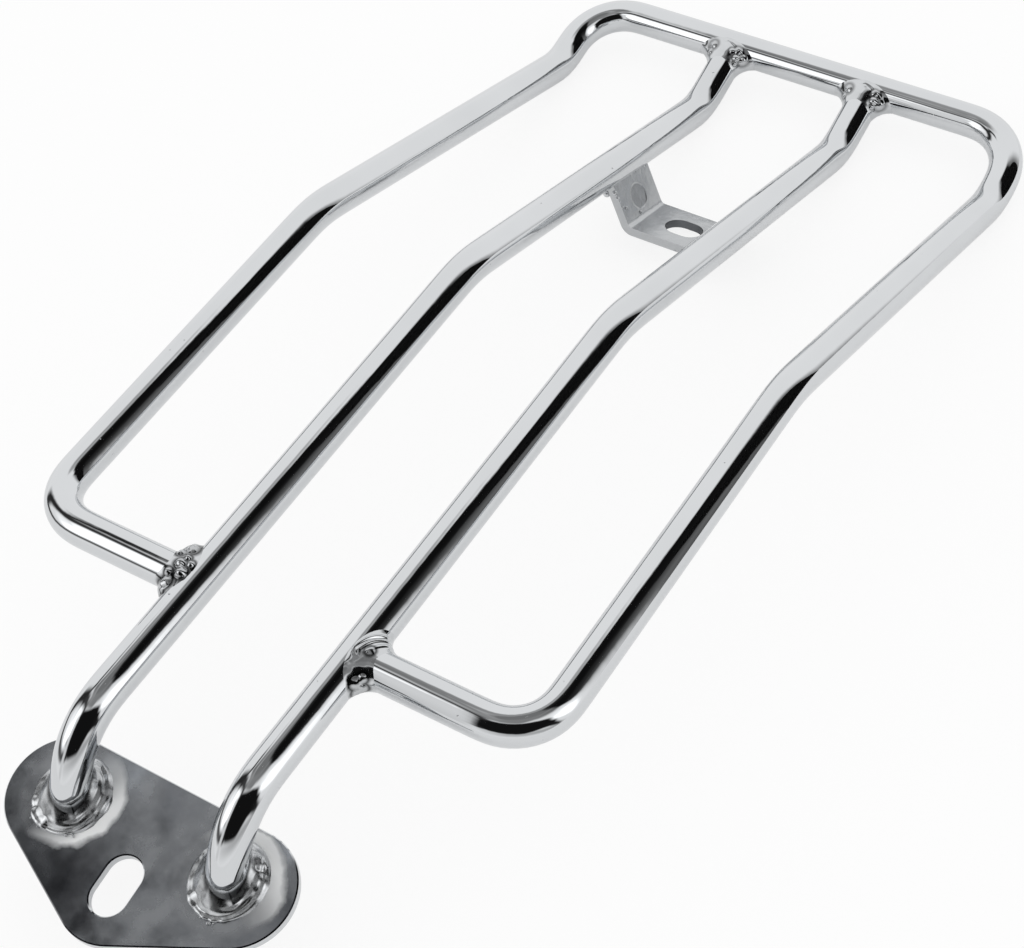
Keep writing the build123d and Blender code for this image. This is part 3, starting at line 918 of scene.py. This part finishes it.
COLLAR_LUMPS = {
    "left_stub": [(40, 0.45, 2.4, 1.3), (60, 0.72, 1.5, 1.1), (74, 0.38, 2.1, 1.6), (94, 0.68, 2.0, 1.6),
                  (100, 0.34, 1.4, 1.0), (113, 0.50, 1.3, 1.2), (130, 0.74, 1.7, 1.2), (140, 0.40, 2.4, 1.4),
                  (82, 0.54, 1.1, 0.9), (168, 0.50, 4.4, 2.2), (20, 0.40, 3.0, 0.9)],
    "right_stub": [(160, 0.42, 2.2, 0.8), (175, 0.55, 1.8, 0.7), (150, 0.62, 1.6, 0.6), (185, 0.36, 1.8, 0.6),
                   (80, 0.72, 1.6, 0.4)],
    "left_rear": [(30, 0.42, 2.3, 0.9), (45, 0.62, 1.5, 0.8), (54, 0.40, 1.8, 0.7), (36, 0.76, 1.2, 0.5),
                  (66, 0.58, 1.3, 0.5), (128, 0.40, 1.9, 0.6), (142, 0.58, 1.4, 0.6)],
    "right_rear": [(26, 0.46, 2.2, 0.9), (44, 0.60, 1.6, 0.8), (56, 0.42, 1.5, 0.6), (36, 0.76, 1.2, 0.5),
                   (132, 0.46, 1.9, 0.6), (150, 0.58, 1.3, 0.5)],
}


def collar_toe(a):
    """The collar's toe, just inside the through bar."""
    over = WRAP * math.sin(a)
    return Vector(((BAR_R + FLARE) * math.cos(a), SEAT_R * math.sin(over), SEAT_R * math.cos(over)))


def collar_corner(a):
    """The corner where the two round bars meet, partly filled."""
    return Vector(((BAR_R + COLLAR_FILL) * math.cos(a), (BAR_R + COLLAR_CAP) * math.sin(a),
                   BAR_R * abs(math.cos(a)) + COLLAR_FILL))


def collar_edge(a):
    """The collar's upper edge, just inside the bar that ends here."""
    high = BAR_R + COLLAR_UP + (FLARE - COLLAR_UP) * math.cos(a) ** 2
    return Vector((SEAT_R * math.cos(a), SEAT_R * math.sin(a), high))


for side, sign in (("left", -1), ("right", 1)):
    joints = {
        "stub": axes((sign * STUB_AT[0], STUB_AT[1], STUB_AT[2]), (0, sign, 0), (sign, 0, 0)),
        "rear": axes((sign * TAIL_AT[0], TAIL_AT[1], TAIL_AT[2]), (1, 0, 0), TO_HEEL),
    }
    for joint, seat in joints.items():
        name = side + "_" + joint
        loops, dark = bead_loops(collar_toe, collar_corner, collar_edge, COLLAR_RIDGES[name],
                                 COLLAR_LUMPS[name], COLLAR_SHADE[joint])
        finish_bead(name + "_bead", name + "_weld", seat, loops, dark, [], bead_chromes["mopped"])

# %% [markdown]
# Under the bracket a short bead runs along each side, in the corner between the strip and the bar. It
# is out of the photograph's sight, so it is a plain even run of puddles.

# %% Seams under the bracket
SEAM_HALF_MM = 10.6
SEAM_R_MM = 2.4
SEAM_RINGS = 60
SEAM_AROUND = 48
PUDDLE_RISE = 0.12
PUDDLE_TURN = 1.35
END_BLUNT = 8
END_LEAST = 0.02
SEAM_DROPS = [((0.2, 0.6, -11.4), 1.5), ((-0.9, -0.8, -11.2), 1.2)]
DOWN_RUN = (0, math.cos(math.radians(MID_FALL)), -math.sin(math.radians(MID_FALL)))
for side in ("left", "right"):
    low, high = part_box(side + "_bracket_weld")
    seat = axes((low + high) / 2 / MM, (1, 0, 0), DOWN_RUN)
    loops = []
    for k in range(SEAM_RINGS):
        t = -1 + 2 * k / (SEAM_RINGS - 1)
        r = math.sqrt(max(1 - t ** END_BLUNT, END_LEAST)) * SEAM_R_MM
        r += PUDDLE_RISE * math.cos(k * PUDDLE_TURN)
        loops.append([Vector((r * math.cos(a), r * math.sin(a), t * SEAM_HALF_MM))
                      for a in np.linspace(0, 2 * math.pi, SEAM_AROUND, endpoint=False)])
    dark = [0.0] * (SEAM_RINGS * SEAM_AROUND)
    finish_bead(side + "_bracket_bead", side + "_bracket_weld", seat, loops, dark, SEAM_DROPS,
                bead_chromes["mopped"])

# %% [markdown]
# The arc throws drops of steel that freeze where they land, and plating makes them shine. The photograph
# shows a few on the bracket's left leg. They could be bump in the material, but round drops catch the
# light from every side only as real balls, so each is a small ball half sunk in the strip.

# %% Spatter on the bracket
SPATTER = [((-24.4, 327.8, -6.5), 1.0), ((-22.9, 327.2, -8.2), 0.8), ((-21.9, 327.1, -9.5), 0.45),
           ((-20.7, 326.7, -11.5), 0.55), ((-20.2, 328.5, -13.1), 0.7), ((-17.9, 334.3, -19.2), 0.7)]
spatter_mesh = bpy.data.meshes.new("left_bracket_spatter")
add_balls(spatter_mesh, [(Vector(c) * MM, r * MM) for c, r in SPATTER])
spatter_mesh.materials.append(bead_chromes["mopped"])
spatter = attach(put("left_bracket_spatter", spatter_mesh), "root")
print(len(SPATTER), "drops of spatter")

# %% [markdown]
# Last, colours are shown with the standard view transform.

# %% Colour view
scene.view_settings.view_transform = "Standard"
